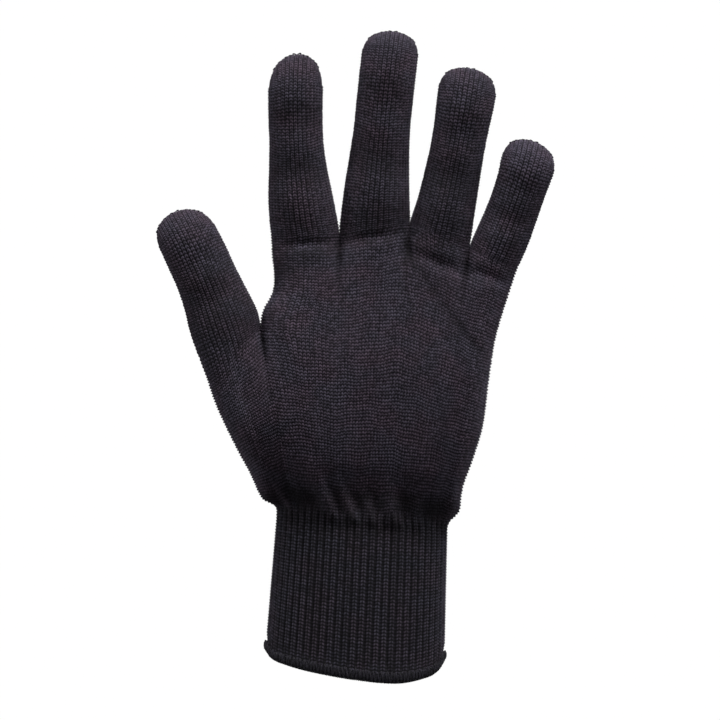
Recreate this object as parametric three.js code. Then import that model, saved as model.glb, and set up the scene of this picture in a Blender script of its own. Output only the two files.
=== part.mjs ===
// A knitted glove liner for the left hand, in the form that a hand gives it: a jersey-knit hand
// with four finger tubes and a thumb tube, a rib-knit cuff, and an overlocked hem.
// Millimetres. +Z runs from the wrist opening up to the fingertips, the palm faces -Y and the thumb
// points to -X. The origin is the middle of the wrist opening.
import * as THREE from 'three';

// Driving sizes: fabric
const fabricWall = 1.2;       // thickness of the jersey knit
const ribWall = 1.5;          // thickness of the rib knit, from one face to the other
const ribRelief = 0.55;       // how far a rib stands out on either side of the cuff's middle surface
const ribCount = 56;          // ribs round the cuff
const knitGap = 0.3;          // clearance between pieces that are knitted onto each other

// Driving sizes: cuff and hem
const cuffHeight = 54;        // from the wrist opening to the gathers
const cuffTopWidth = 64;
const cuffTopDepth = 37;
const cuffHemWidth = 67;
const cuffHemDepth = 41;
const cuffShift = 2.6;        // how far the top of the cuff sits towards the little finger
const cuffTopDrop = 5.7;      // how much lower the cuff's top is on the little finger's side
const hemSide = 7.9;          // how far the thumb's side of the hem lies above the wrist opening's plane
const hemDip = 11.8;          // how far the hem hangs below that side; the shares are in HEM_LINE
const hemThread = 0.8;        // thickness of the overlock stitches round the raw edge
const hemHeight = 2.4;        // how far the overlock reaches up the cuff
const ribStart = 4.2;         // height where the ribs begin to stand out

// Driving sizes: palm
const palmLength = 109.2;     // from the cuff to the foot of the index finger
const palmShift = 34.1;       // from the cuff's middle out to the index finger's outer side
const palmHalfDepth = 16;     // the measure for the shares in PALM_SECTIONS
const thumbCrotchHeight = 74.7;
const thumbCrotchOut = 38.5;  // from the cuff's middle out to the crotch of the thumb
const thumbForward = 9;       // how far the thumb's root stands in front of the palm
const thumbFade = 1.7;        // how far across the hand that reaches, in digits' parts of the palm
const wristBlend = 0.1;       // share of the palm's length over which the cuff's oval becomes the palm
const webReach = 21;          // how far the grooves between the fingers run down into the palm
const crotchDent = 4.0;       // how deep the fabric folds in below the crotch between two digits
const crotchReach = 6;        // how far below the crotch that fold is deepest
const crotchWidth = 0.08;     // its half width, as a share of a digit's part of the palm
const fingerJoin = 4.0;       // height of the row above the crotch where a finger tube is knitted on

// Driving sizes: digits
const thumbLength = 57.6;
const indexLength = 69.4;
const middleLength = 75.8;
const ringLength = 65.8;
const littleLength = 48.2;
const fingerWidth = 20;       // the measure for the widths, the bow and the cap in DIGITS
const fingerDepth = 20;       // the measure for the depths in DIGITS
const rootStart = 0.5;        // share of the way up the palm where it begins to thin to the digits' roots
const rootEnd = 0.2;          // share of a digit's length where the palm's depth has become its own
const rootPad = 4;            // how much further a digit's root stands out on the palm side than at the back
const creaseDepth = 1.6;      // how far the crease at the foot of a finger sinks into the palm side
const creaseDrop = 7.0;       // the measure for how far below the finger's foot it lies
const creaseReach = 2.4;      // how far above and below that it fades out

// The thumb and the fingers. base runs from one crotch to the next at baseAngle, in degrees; root, waist
// and tip are widths at the rows of that name in FINGER_STATIONS, all as shares of fingerWidth; bow is
// the sideways bend and cap the length of the rounded tip, as shares of it too. thick and thin are the
// depths at the root and the tip, as shares of fingerDepth, pad is the share of rootPad, and crease that
// of creaseDrop. lean is the tilt towards the little finger's side, and the three flex angles are each
// knuckle's turn to the palm.
const DIGITS = [
  { name: 'thumb', length: thumbLength, base: 1.34, baseAngle: 40.7, root: 1.32, waist: 1.145, tip: 1.115,
    thick: 1.3, thin: 0.95, pad: 0.0, crease: 0.0, lean: -23.0, bow: 0.08, cap: 0.5,
    flex: [2, 2, -14] },
  { name: 'index_finger', length: indexLength, base: 1.282, baseAngle: 3.4, root: 1.2, waist: 0.99,
    tip: 1.005, thick: 1.1, thin: 0.9, pad: 1.0, crease: 0.45, lean: -2.8, bow: -0.09, cap: 0.62,
    flex: [9, 3, -12] },
  { name: 'middle_finger', length: middleLength, base: 1.343, baseAngle: 7.9, root: 1.205, waist: 1.03,
    tip: 1.035, thick: 1.1, thin: 0.925, pad: 1.0, crease: 0.4, lean: 5.3, bow: -0.035,
    cap: 0.38, flex: [10, 3, -12] },
  { name: 'ring_finger', length: ringLength, base: 1.22, baseAngle: -23.4, root: 1.08, waist: 0.99,
    tip: 1.065, thick: 1.05, thin: 0.9, pad: 1.0, crease: 1.35, lean: 10.5, bow: 0.035,
    cap: 0.38, flex: [12, 4, -15] },
  { name: 'little_finger', length: littleLength, base: 0.975, baseAngle: -21.7, root: 0.98, waist: 0.935,
    tip: 1.01, thick: 0.925, thin: 0.825, pad: 0.8, crease: 1.0, lean: 19.2, bow: 0.06,
    cap: 0.38, flex: [14, 4, -16] },
];

// Along a digit, as shares of its length: how much of the width and depth comes from each named size,
// the share of rootPad, and swell, the share by which the pads stand out and the creases sink in.
const FINGER_STATIONS = [
  { along: 0.00, base: 1, root: 0, waist: 0, tip: 0, thin: 0.00, pad: 1.00, swell: -0.04 },
  { along: 0.20, base: 0, root: 1, waist: 0, tip: 0, thin: 0.15, pad: 0.90, swell: 0.03 },
  { along: 0.38, base: 0, root: 0.35, waist: 0.65, tip: 0, thin: 0.45, pad: 0.50, swell: -0.04 },
  { along: 0.52, base: 0, root: 0, waist: 1, tip: 0, thin: 0.65, pad: 0.22, swell: 0.03 },
  { along: 0.66, base: 0, root: 0, waist: 0.8, tip: 0.2, thin: 0.85, pad: 0.06, swell: -0.04 },
  { along: 0.78, base: 0, root: 0, waist: 0.2, tip: 0.8, thin: 0.97, pad: 0.00, swell: 0.05 },
  { along: 0.90, base: 0, root: 0, waist: 0, tip: 1, thin: 1.00, pad: 0.00, swell: -0.06 },
  { along: 1.00, base: 0, root: 0, waist: 0, tip: 1, thin: 1.00, pad: 0.00, swell: -0.26 },
];

// Where the three knuckles of a digit turn it, as shares of its length.
const KNUCKLES = [
  { from: -0.06, to: 0.10 },
  { from: 0.34, to: 0.50 },
  { from: 0.62, to: 0.82 },
];

// Half thickness of the hand from the cuff (up 0) to the foot of the fingers (up 1), as shares of
// palmHalfDepth, at the middle of each digit's part of the palm. The back is flatter than the palm.
const PALM_SECTIONS = [
  { up: 0.00, thumb: 0.50, index: 1.08, middle: 1.14, ring: 1.08, little: 0.50, back: 1.00 },
  { up: 0.06, thumb: 0.54, index: 1.03, middle: 1.08, ring: 1.03, little: 0.58, back: 0.96 },
  { up: 0.11, thumb: 0.74, index: 1.09, middle: 1.13, ring: 1.08, little: 0.76, back: 0.90 },
  { up: 0.16, thumb: 0.96, index: 1.29, middle: 1.30, ring: 1.26, little: 0.94, back: 0.86 },
  { up: 0.22, thumb: 1.16, index: 1.49, middle: 1.47, ring: 1.43, little: 1.10, back: 0.81 },
  { up: 0.34, thumb: 1.30, index: 1.57, middle: 1.53, ring: 1.50, little: 1.24, back: 0.78 },
  { up: 0.50, thumb: 1.26, index: 1.47, middle: 1.48, ring: 1.46, little: 1.24, back: 0.80 },
  { up: 0.72, thumb: 1.10, index: 1.37, middle: 1.39, ring: 1.36, little: 1.16, back: 0.80 },
  { up: 0.90, thumb: 1.00, index: 1.32, middle: 1.34, ring: 1.30, little: 1.10, back: 0.76 },
];

// The hand's outline between the cuff and the digits: how far it stands out from a straight line, as
// shares of that line's length. The index side starts at the crotch of the thumb.
const THUMB_SIDE = [
  { up: 0, out: 0 }, { up: 0.04, out: -0.006 }, { up: 0.10, out: 0.016 }, { up: 0.18, out: 0.029 },
  { up: 0.34, out: 0.024 }, { up: 0.50, out: 0.030 }, { up: 0.80, out: 0.025 }, { up: 1, out: 0 },
];
const INDEX_SIDE = [
  { up: 0, out: 0 }, { up: 0.20, out: -0.010 }, { up: 0.42, out: -0.088 }, { up: 0.62, out: -0.080 },
  { up: 0.80, out: -0.035 }, { up: 1, out: 0 },
];
const LITTLE_SIDE = [
  { up: 0, out: 0 }, { up: 0.05, out: 0.026 }, { up: 0.18, out: 0.014 }, { up: 0.30, out: 0.024 },
  { up: 0.42, out: 0.026 }, { up: 0.60, out: 0.003 }, { up: 0.75, out: -0.011 }, { up: 1, out: 0 },
];

// The hem's line round the wrist opening, from the thumb's side (across -1) to the little finger's
// side (across 1), as shares of hemDip. It hangs lower at the back than at the palm.
const HEM_LINE = [
  { across: -1.00, front: 0.00, back: 0.00 },
  { across: -0.93, front: 0.26, back: 0.28 },
  { across: -0.77, front: 0.44, back: 0.50 },
  { across: -0.49, front: 0.64, back: 0.72 },
  { across: 0.00, front: 0.88, back: 0.95 },
  { across: 0.49, front: 1.00, back: 1.03 },
  { across: 0.82, front: 0.83, back: 0.84 },
  { across: 0.93, front: 0.65, back: 0.65 },
  { across: 1.00, front: 0.33, back: 0.33 },
];

// Gathers where the hand is drawn into the cuff: across runs from 0 at the thumb's side to 5 at the
// little finger's side, slant is how far a fold moves over as it climbs to its end, width is its half
// width on the same scale, rise a share of gatherRise, and reach a share of the palm's length.
const gatherRise = 3.6;
const gatherSkew = 0.62;      // below 1 a fold is highest nearer to the cuff than to its upper end
const GATHERS = [
  { side: -1, across: 0.98, slant: -0.70, width: 0.17, rise: 0.9, reach: 0.26 },
  { side: -1, across: 1.98, slant: -0.65, width: 0.17, rise: 1.0, reach: 0.26 },
  { side: -1, across: 2.38, slant: -0.45, width: 0.12, rise: 0.8, reach: 0.20 },
  { side: -1, across: 2.70, slant: -0.25, width: 0.11, rise: 0.6, reach: 0.18 },
  { side: -1, across: 3.08, slant: -0.20, width: 0.17, rise: 0.9, reach: 0.22 },
  { side: -1, across: 3.60, slant: 0.05, width: 0.14, rise: 0.4, reach: 0.16 },
  { side: -1, across: 4.65, slant: 0.15, width: 0.30, rise: 1.1, reach: 0.20 },
  { side: 1, across: 0.70, slant: -0.10, width: 0.20, rise: 0.8, reach: 0.22 },
  { side: 1, across: 1.50, slant: -0.10, width: 0.18, rise: 0.7, reach: 0.26 },
  { side: 1, across: 2.30, slant: 0.00, width: 0.17, rise: 0.9, reach: 0.22 },
  { side: 1, across: 3.10, slant: 0.10, width: 0.18, rise: 0.7, reach: 0.27 },
  { side: 1, across: 3.90, slant: 0.15, width: 0.18, rise: 0.9, reach: 0.22 },
];

// Fineness of the faceted surface
const columns = 7;            // facets across one digit on the palm side, and as many on the back
const palmRows = 14;
const thumbRow = 10;          // the palm row that ends in the crotch of the thumb
const palmRowSpread = 1.35;   // above 1 the rows lie closer together near the gathers
const CREASE_ROWS = [1.9, 1.35, 0.85, 0.4];   // palm rows round the fingers' creases: shares of creaseDrop
const cuffRows = 5;
const hemFacets = 56;
const capRows = 4;
const steps = 24;             // short steps that a digit's middle line is summed up from

const clamp = (v, low, high) => Math.min(Math.max(v, low), high);
const mix = (a, b, t) => a + (b - a) * t;
const smooth = (t) => {
  const c = clamp(t, 0, 1);
  return c * c * (3 - 2 * c);
};
const radians = THREE.MathUtils.degToRad;

// Reads a column of a table at any place along its key, on a smooth curve through the rows.
function read(table, key, column, at) {
  const x = table.map((row) => row[key]);
  const y = table.map((row) => row[column]);
  const last = x.length - 1;
  const place = clamp(at, x[0], x[last]);
  const i = clamp(x.findIndex((v) => v > place) - 1, 0, last - 1);
  const k = place >= x[last] ? last - 1 : i;
  const slope = (n) => {
    const a = Math.max(n - 1, 0);
    const b = Math.min(n + 1, last);
    return (y[b] - y[a]) / (x[b] - x[a]);
  };
  const span = x[k + 1] - x[k];
  const t = (place - x[k]) / span;
  const t2 = t * t;
  const t3 = t2 * t;
  return (2 * t3 - 3 * t2 + 1) * y[k] + (t3 - 2 * t2 + t) * span * slope(k)
    + (3 * t2 - 2 * t3) * y[k + 1] + (t3 - t2) * span * slope(k + 1);
}

// The outline points where the pieces meet, in the plane of the palm (x and z).
const wrist = new THREE.Vector3(cuffShift, 0, cuffHeight);
const wristLeft = wrist.clone().add(new THREE.Vector3(-cuffTopWidth / 2, 0, cuffTopDrop / 2));
const wristRight = wrist.clone().add(new THREE.Vector3(cuffTopWidth / 2, 0, -cuffTopDrop / 2));
const thumbCrotch = wrist.clone().add(new THREE.Vector3(-thumbCrotchOut, 0, thumbCrotchHeight));
const baseStep = (digit) => {
  const turn = radians(digit.baseAngle);
  return new THREE.Vector3(Math.cos(turn), 0, Math.sin(turn)).multiplyScalar(digit.base * fingerWidth);
};
const thumbOuter = thumbCrotch.clone().sub(baseStep(DIGITS[0]));
const knuckleLine = [wrist.clone().add(new THREE.Vector3(-palmShift, 0, palmLength))];
for (const digit of DIGITS.slice(1)) knuckleLine.push(knuckleLine.at(-1).clone().add(baseStep(digit)));

// Palm rows as shares of the way from the cuff to the foot of the fingers.
const rowShare = (row) => (row / palmRows) ** palmRowSpread;
const thumbShare = rowShare(thumbRow);
const webShare = webReach / palmLength;

// Angle round an oval, from the thumb's side over the palm to the little finger's side, of a place
// across the hand.
const ovalAngle = (across) => radians(-90 + across * (180 / DIGITS.length));

// A point of the straight or bowed line between two ends; out is to the left of the way up when
// hand is -1, and to the right when it is 1.
function outline(from, to, table, up, hand) {
  const line = to.clone().sub(from);
  const outward = new THREE.Vector3(line.z, 0, -line.x).multiplyScalar(hand);
  return from.clone().addScaledVector(line, up).addScaledVector(outward, read(table, 'up', 'out', up));
}

// How far the thumb's side of the hand stands forward, at a place across and up the palm.
function forward(across, up) {
  const fade = smooth((thumbFade - across) / thumbFade);
  const swell = up < thumbShare ? smooth(up / thumbShare) : smooth((1 - up) / (1 - thumbShare));
  return -thumbForward * fade * swell;
}

// The line between two digits' parts of the palm, from the cuff up. Lines 0 and 5 are the outer sides.
function guide(line, up) {
  let point;
  if (line === 0) {
    point = outline(wristLeft, thumbOuter, THUMB_SIDE, up / thumbShare, -1);
  } else if (line === DIGITS.length) {
    point = outline(wristRight, knuckleLine.at(-1), LITTLE_SIDE, up, 1);
  } else {
    const start = wristLeft.clone().lerp(wristRight, (1 + Math.sin(ovalAngle(line))) / 2);
    if (line > 1) point = start.lerp(knuckleLine[line - 1], up);
    else if (up <= thumbShare) point = start.lerp(thumbCrotch, up / thumbShare);
    else point = outline(thumbCrotch, knuckleLine[0], INDEX_SIDE, (up - thumbShare) / (1 - thumbShare), -1);
  }
  point.y = forward(line, up);
  return point;
}

// How far the two faces of the hand are held apart at a guide line: 0 at a crotch or an outer side.
function openness(line, up) {
  if (line === 0 || line === DIGITS.length) return 0;
  const crotch = line === 1 ? thumbShare : 1;
  const below = clamp((crotch - up) / webShare, 0, 1);
  return Math.sqrt(1 - (1 - below) ** 2);
}

// How deep the fabric folds in below the crotches between the digits.
function dent(across, up) {
  let depth = 0;
  for (let line = 1; line < DIGITS.length; line += 1) {
    const beside = (across - line) / crotchWidth;
    const below = Math.max((line === 1 ? thumbShare : 1) - up, 0) * palmLength / crotchReach;
    depth += crotchDent * below * Math.exp(1 - below - beside * beside);
  }
  return depth;
}

// Half thickness of the palm side (side -1) or of the back (side 1). The palm side sinks into a
// crease at the foot of each finger.
function palmDepth(across, up, side) {
  const depths = DIGITS.map((digit, i) => {
    const column = side < 0 ? digit.name.split('_')[0] : 'back';
    const palm = read(PALM_SECTIONS, 'up', column, up) * palmHalfDepth;
    const top = i === 0 ? thumbShare : 1;
    const away = ((top - up) * palmLength - digit.crease * creaseDrop) / creaseReach;
    const crease = side < 0 && i > 0 ? creaseDepth * Math.exp(-away * away) : 0;
    const root = digit.thick * fingerDepth / 2 + (side < 0 ? digit.pad * rootPad : 0);
    const thinned = smooth((up / top - rootStart) / (1 - rootStart));
    return { centre: i + 0.5, depth: mix(palm, root, thinned) - crease };
  });
  return read(depths, 'centre', 'depth', across) - dent(across, up);
}

// How high the gathers above the cuff rise at a place of the hand.
function gather(across, up, side) {
  let rise = 0;
  for (const fold of GATHERS.filter((f) => f.side === side)) {
    const climb = up / fold.reach;
    if (climb >= 1) continue;
    const away = (across - fold.across - fold.slant * climb) / fold.width;
    rise += fold.rise * gatherRise * Math.exp(-away * away)
      * Math.sin(Math.PI * climb ** gatherSkew) ** 2;
  }
  return rise;
}

// A point of one digit's strip: w runs from -1 to 1 across it, left and right are the strip's two
// sides, open says how far its faces are apart there, and depth gives the half thickness.
function stripPoint(w, side, left, right, openLeft, openRight, depth, depthAxis) {
  const open = w < 0 ? openLeft : openRight;
  const t = Math.abs(w);
  const turn = t * Math.PI / 2;
  const x = Math.sign(w) * mix(Math.sin(turn), t, open);
  const height = t === 1 ? open : mix(Math.cos(turn), 1, open);
  return left.clone().lerp(right, (1 + x) / 2).addScaledVector(depthAxis, side * depth * height);
}

const backward = new THREE.Vector3(0, 1, 0);

function palmPoint(digit, w, side, up) {
  const across = digit + (1 + w) / 2;
  const depth = palmDepth(across, up, side);
  const point = stripPoint(w, side, guide(digit, up), guide(digit + 1, up),
    openness(digit, up), openness(digit + 1, up), depth, backward);
  const angle = ovalAngle(across);
  const ring = wristLeft.clone().lerp(wristRight, (1 + Math.sin(angle)) / 2);
  ring.y = side * (cuffTopDepth / 2) * Math.cos(angle);
  const lift = guide(2, up).z - guide(2, 0).z;
  ring.z += lift;
  ring.lerp(point, smooth(up / wristBlend));
  ring.y += side * gather(across, up, side) * Math.max(0, Math.cos(angle));
  return ring;
}

// The middle line of a digit: sums up short steps that lean with the digit and turn at its knuckles.
function flexAt(digit, along) {
  const turns = KNUCKLES.map(({ from, to }, i) => digit.flex[i] * smooth((along - from) / (to - from)));
  return radians(turns.reduce((sum, turn) => sum + turn));
}

function digitCentre(digit, base, along) {
  const lean = radians(digit.lean);
  const centre = base.clone();
  for (let i = 0; i < steps; i += 1) {
    const flex = flexAt(digit, along * (i + 0.5) / steps);
    const step = digit.length * along / steps;
    centre.x += step * Math.cos(flex) * Math.sin(lean);
    centre.z += step * Math.cos(flex) * Math.cos(lean);
    centre.y -= step * Math.sin(flex);
  }
  const bow = 4 * along * (1 - along) * digit.bow * fingerWidth;
  return centre.add(new THREE.Vector3(Math.cos(lean), 0, -Math.sin(lean)).multiplyScalar(bow));
}

// Where a digit's rounded tip begins, as a share of its length.
const capStartOf = (digit) => 1 - digit.cap * fingerWidth / digit.length;

function digitPoint(index, w, side, along) {
  const digit = DIGITS[index];
  const top = index === 0 ? thumbShare : 1;
  const left = guide(index, top);
  const right = guide(index + 1, top);
  const lean = radians(digit.lean);
  const flex = flexAt(digit, along) - flexAt(digit, 0);
  const across = new THREE.Vector3(Math.cos(lean), 0, -Math.sin(lean));
  const upward = new THREE.Vector3(Math.sin(lean), 0, Math.cos(lean));
  const depthAxis = upward.multiplyScalar(Math.sin(flex)).addScaledVector(backward, Math.cos(flex));
  const share = (column) => read(FINGER_STATIONS, 'along', column, along);
  const capStart = capStartOf(digit);
  const inCap = clamp((along - capStart) / (1 - capStart), 0, 1);
  const cap = Math.sqrt(Math.max(1 - inCap * inCap, 0));
  const ownWidth = fingerWidth
    * (share('root') * digit.root + share('waist') * digit.waist + share('tip') * digit.tip);
  const half = right.clone().sub(left).multiplyScalar(share('base') / 2)
    .addScaledVector(across, ownWidth / 2).multiplyScalar(cap);
  const evenDepth = mix(digit.thick, digit.thin, share('thin')) * (fingerDepth / 2);
  const palmSide = evenDepth * (1 + share('swell')) + digit.pad * rootPad * share('pad');
  const ownDepth = side < 0 ? palmSide : evenDepth;
  const palmEnd = palmDepth(index + (1 + w) / 2, top, side);
  const depth = mix(palmEnd, ownDepth, smooth(along / rootEnd)) * cap;
  const centre = digitCentre(digit, left.clone().lerp(right, 0.5), along);
  return stripPoint(w, side, centre.clone().sub(half), centre.clone().add(half), 0, 0, depth, depthAxis);
}

// A skin is a set of labelled facets over shared points, one layer, facing out.
class Skin {
  constructor() {
    this.points = [];
    this.byPlace = new Map();
    this.facets = [];
  }

  add(point) {
    const key = point.toArray().map((v) => Math.round(v * 1e4) || 0).join();
    if (!this.byPlace.has(key)) {
      this.byPlace.set(key, this.points.length);
      this.points.push(point);
    }
    return this.byPlace.get(key);
  }

  // Two triangles over four corners, in order round the facet seen from outside.
  quad(label, a, b, c, d) {
    const [i, j, k, l] = [a, b, c, d].map((p) => this.add(p));
    for (const corners of [[i, j, k], [i, k, l]]) {
      if (new Set(corners).size === 3) this.facets.push({ label, corners });
    }
  }

  normals() {
    const sums = this.points.map(() => new THREE.Vector3());
    for (const { corners } of this.facets) {
      const [a, b, c] = corners.map((i) => this.points[i]);
      const normal = b.clone().sub(a).cross(c.clone().sub(a));
      for (const i of corners) sums[i].add(normal);
    }
    return sums.map((n) => n.normalize());
  }

  // The labelled facets as a closed wall of the given thickness, measured inwards.
  wall(label, thickness) {
    const normals = this.normals();
    const facets = this.facets.filter((f) => f.label === label);
    const inner = this.points.map((p, i) => p.clone().addScaledVector(normals[i], -thickness));
    const sides = ({ corners: [a, b, c] }) => [`${a},${b}`, `${b},${c}`, `${c},${a}`];
    const edges = new Set(facets.flatMap(sides));
    const triangles = [];
    const push = (...corners) => triangles.push(corners);
    for (const { corners: [a, b, c] } of facets) {
      push(this.points[a], this.points[b], this.points[c]);
      push(inner[c], inner[b], inner[a]);
      for (const [from, to] of [[a, b], [b, c], [c, a]]) {
        if (edges.has(`${to},${from}`)) continue;
        push(this.points[to], this.points[from], inner[from]);
        push(this.points[to], inner[from], inner[to]);
      }
    }
    return geometryOf(triangles);
  }
}

function geometryOf(triangles) {
  const geometry = new THREE.BufferGeometry().setFromPoints(triangles.flat());
  geometry.computeVertexNormals();
  return geometry;
}

// One digit's strips from the row list, on the palm side and on the back.
function knitStrips(skin, rows, pointAt) {
  for (let i = 0; i + 1 < rows.length; i += 1) {
    for (let c = 0; c < columns; c += 1) {
      const w0 = -1 + (2 * c) / columns;
      const w1 = -1 + (2 * (c + 1)) / columns;
      for (const side of [-1, 1]) {
        const corners = [[w0, i], [w1, i], [w1, i + 1], [w0, i + 1]]
          .map(([w, r]) => pointAt(w, side, rows[r].at));
        skin.quad(rows[i].label, ...(side < 0 ? corners : corners.reverse()));
      }
    }
  }
}

// The jersey-knit hand and its digits share one skin, so that their walls line up. A strip that is
// knitGap high, and belongs to no piece, parts each digit from the hand.
function knitHand() {
  const skin = new Skin();
  DIGITS.forEach((digit, index) => {
    const top = index === 0 ? thumbRow : palmRows;
    const rows = Array.from({ length: top + 1 }, (_, row) => ({ at: rowShare(row), label: 'hand' }));
    if (top === palmRows) {
      const crease = CREASE_ROWS.map((share) => 1 - share * creaseDrop / palmLength);
      rows.splice(-2, 1, ...crease.map((at) => ({ at, label: 'hand' })));
    }
    knitStrips(skin, rows, (w, side, up) => palmPoint(index, w, side, up));
    const join = fingerJoin / digit.length;
    const start = join + knitGap / digit.length;
    const capStart = capStartOf(digit);
    const tube = [{ at: 0, label: 'hand' }, { at: join, label: 'gap' }, { at: start, label: digit.name }];
    for (const { along } of FINGER_STATIONS.slice(1, -1)) {
      if (along < capStart) tube.push({ at: along, label: digit.name });
    }
    for (let i = 0; i <= capRows; i += 1) {
      const turn = (i / capRows) * Math.PI / 2;
      tube.push({ at: mix(capStart, 1, Math.sin(turn)), label: digit.name });
    }
    knitStrips(skin, tube, (w, side, along) => digitPoint(index, w, side, along));
  });
  return skin;
}

// How far the hem's edge lies from the wrist opening's plane, at an angle round the cuff.
function hemLevel(angle) {
  const column = Math.cos(angle) > 0 ? 'front' : 'back';
  return hemSide - hemDip * read(HEM_LINE, 'across', column, Math.sin(angle));
}

// A point of the cuff's middle surface: up runs from 0 at the hem to 1 at the hand, and out is
// measured away from that surface.
function cuffPoint(angle, up, out = 0) {
  const width = mix(cuffHemWidth, cuffTopWidth, up) / 2;
  const depth = mix(cuffHemDepth, cuffTopDepth, up) / 2;
  const topLevel = cuffHeight - (cuffTopDrop / 2) * Math.sin(angle) - knitGap;
  const point = new THREE.Vector3(width * Math.sin(angle), -depth * Math.cos(angle), 0);
  const outward = new THREE.Vector3(depth * Math.sin(angle), -width * Math.cos(angle), 0).normalize();
  point.addScaledVector(outward, out);
  return point.add(new THREE.Vector3(cuffShift * up, 0, mix(hemLevel(angle), topLevel, up)));
}

// The ribs fade out into the hem below and into the gathers above.
const ribFade = (up) => smooth(up * cuffHeight / ribStart - 1) * mix(1, 0.4, smooth((up - 0.85) / 0.15));

function knitCuff() {
  const skin = new Skin();
  const facets = ribCount * 2;
  const levels = [0, ribStart / cuffHeight];
  for (let i = 1; i < cuffRows; i += 1) levels.push(mix(2 * levels[1], 1, (i - 1) / (cuffRows - 2)));
  const surface = (step, up) => {
    const angle = (step / facets) * 2 * Math.PI;
    const relief = (step % 2 ? -1 : 1) * ribRelief * ribFade(up);
    return cuffPoint(angle, up, relief);
  };
  for (let i = 0; i + 1 < levels.length; i += 1) {
    for (let step = 0; step < facets; step += 1) {
      skin.quad('cuff', surface(step, levels[i]), surface(step + 1, levels[i]),
        surface(step + 1, levels[i + 1]), surface(step, levels[i + 1]));
    }
  }
  return skin.wall('cuff', ribWall);
}

// The overlock round the raw edge: a channel that holds the cuff's lower edge, clear of it by knitGap.
function knitHem() {
  const outside = knitGap + hemThread;
  const inside = -ribWall - knitGap - hemThread;
  const round = hemThread / 2;
  const section = [
    { out: knitGap, rise: hemHeight }, { out: knitGap, rise: -knitGap },
    { out: -ribWall - knitGap, rise: -knitGap }, { out: -ribWall - knitGap, rise: hemHeight },
    { out: inside, rise: hemHeight }, { out: inside, rise: -knitGap - round },
    { out: inside + round, rise: -knitGap - hemThread }, { out: outside - round, rise: -knitGap - hemThread },
    { out: outside, rise: -knitGap - round }, { out: outside, rise: hemHeight },
  ];
  const at = (step, corner) => {
    const { out, rise } = section[corner % section.length];
    const angle = ((step % hemFacets) / hemFacets) * 2 * Math.PI;
    return cuffPoint(angle, rise / cuffHeight, out);
  };
  const skin = new Skin();
  for (let step = 0; step < hemFacets; step += 1) {
    section.forEach((_, corner) => {
      const [near, far] = [corner, corner + 1];
      skin.quad('hem', at(step, near), at(step + 1, near), at(step + 1, far), at(step, far));
    });
  }
  return geometryOf(skin.facets.map(({ corners }) => corners.map((i) => skin.points[i])));
}

const jersey = new THREE.MeshStandardMaterial({ color: 0x2b272d, roughness: 0.92, metalness: 0 });
const rib = new THREE.MeshStandardMaterial({ color: 0x252127, roughness: 0.94, metalness: 0 });
const overlock = new THREE.MeshStandardMaterial({ color: 0x211d22, roughness: 0.95, metalness: 0 });

const glove = new THREE.Group();

function place(name, geometry, material) {
  const mesh = new THREE.Mesh(geometry, material);
  mesh.name = name;
  glove.add(mesh);
}

const hand = knitHand();
place('hand', hand.wall('hand', fabricWall), jersey);
for (const digit of DIGITS) place(digit.name, hand.wall(digit.name, fabricWall), jersey);
place('ribbed_cuff', knitCuff(), rib);
place('cuff_hem', knitHem(), overlock);

export default glove;
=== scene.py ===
import math

import bpy
import numpy as np
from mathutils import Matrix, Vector


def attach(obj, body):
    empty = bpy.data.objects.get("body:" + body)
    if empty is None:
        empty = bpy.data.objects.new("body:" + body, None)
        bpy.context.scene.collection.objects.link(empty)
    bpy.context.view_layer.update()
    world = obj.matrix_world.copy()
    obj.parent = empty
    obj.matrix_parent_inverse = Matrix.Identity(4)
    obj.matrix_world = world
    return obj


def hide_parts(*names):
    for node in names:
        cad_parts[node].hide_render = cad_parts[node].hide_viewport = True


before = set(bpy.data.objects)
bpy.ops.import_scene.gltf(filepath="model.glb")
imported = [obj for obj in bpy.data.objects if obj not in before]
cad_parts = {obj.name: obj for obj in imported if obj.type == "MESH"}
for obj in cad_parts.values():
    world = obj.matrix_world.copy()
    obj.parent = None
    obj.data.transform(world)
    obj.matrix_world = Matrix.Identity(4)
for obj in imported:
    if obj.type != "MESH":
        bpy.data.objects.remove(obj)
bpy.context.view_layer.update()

# Every size below is in millimetres, and MM turns it into Blender's metres. The surface of the
# glove is the same as in the part's source.
MM = 0.001

# Driving sizes: cuff and hem
CUFF_HEIGHT = 54.0
CUFF_TOP_WIDTH = 64.0
CUFF_TOP_DEPTH = 37.0
CUFF_HEM_WIDTH = 67.0
CUFF_HEM_DEPTH = 41.0
CUFF_SHIFT = 2.6
CUFF_TOP_DROP = 5.7
HEM_SIDE = 7.9
HEM_DIP = 11.8
HEM_HEIGHT = 2.4
RIB_WALL = 1.5
RIB_START = 4.2

# Driving sizes: palm
PALM_LENGTH = 109.2
PALM_SHIFT = 34.1
PALM_HALF_DEPTH = 16.0
THUMB_CROTCH_HEIGHT = 74.7
THUMB_CROTCH_OUT = 38.5
THUMB_FORWARD = 9.0
THUMB_SHARE = (10 / 14) ** 1.35
WEB_REACH = 21.0
CROTCH_DENT = 4.0
CROTCH_REACH = 6.0
CROTCH_WIDTH = 0.08
GATHER_RISE = 3.6
GATHER_SKEW = 0.62
KNIT_WALL = 1.2

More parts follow.
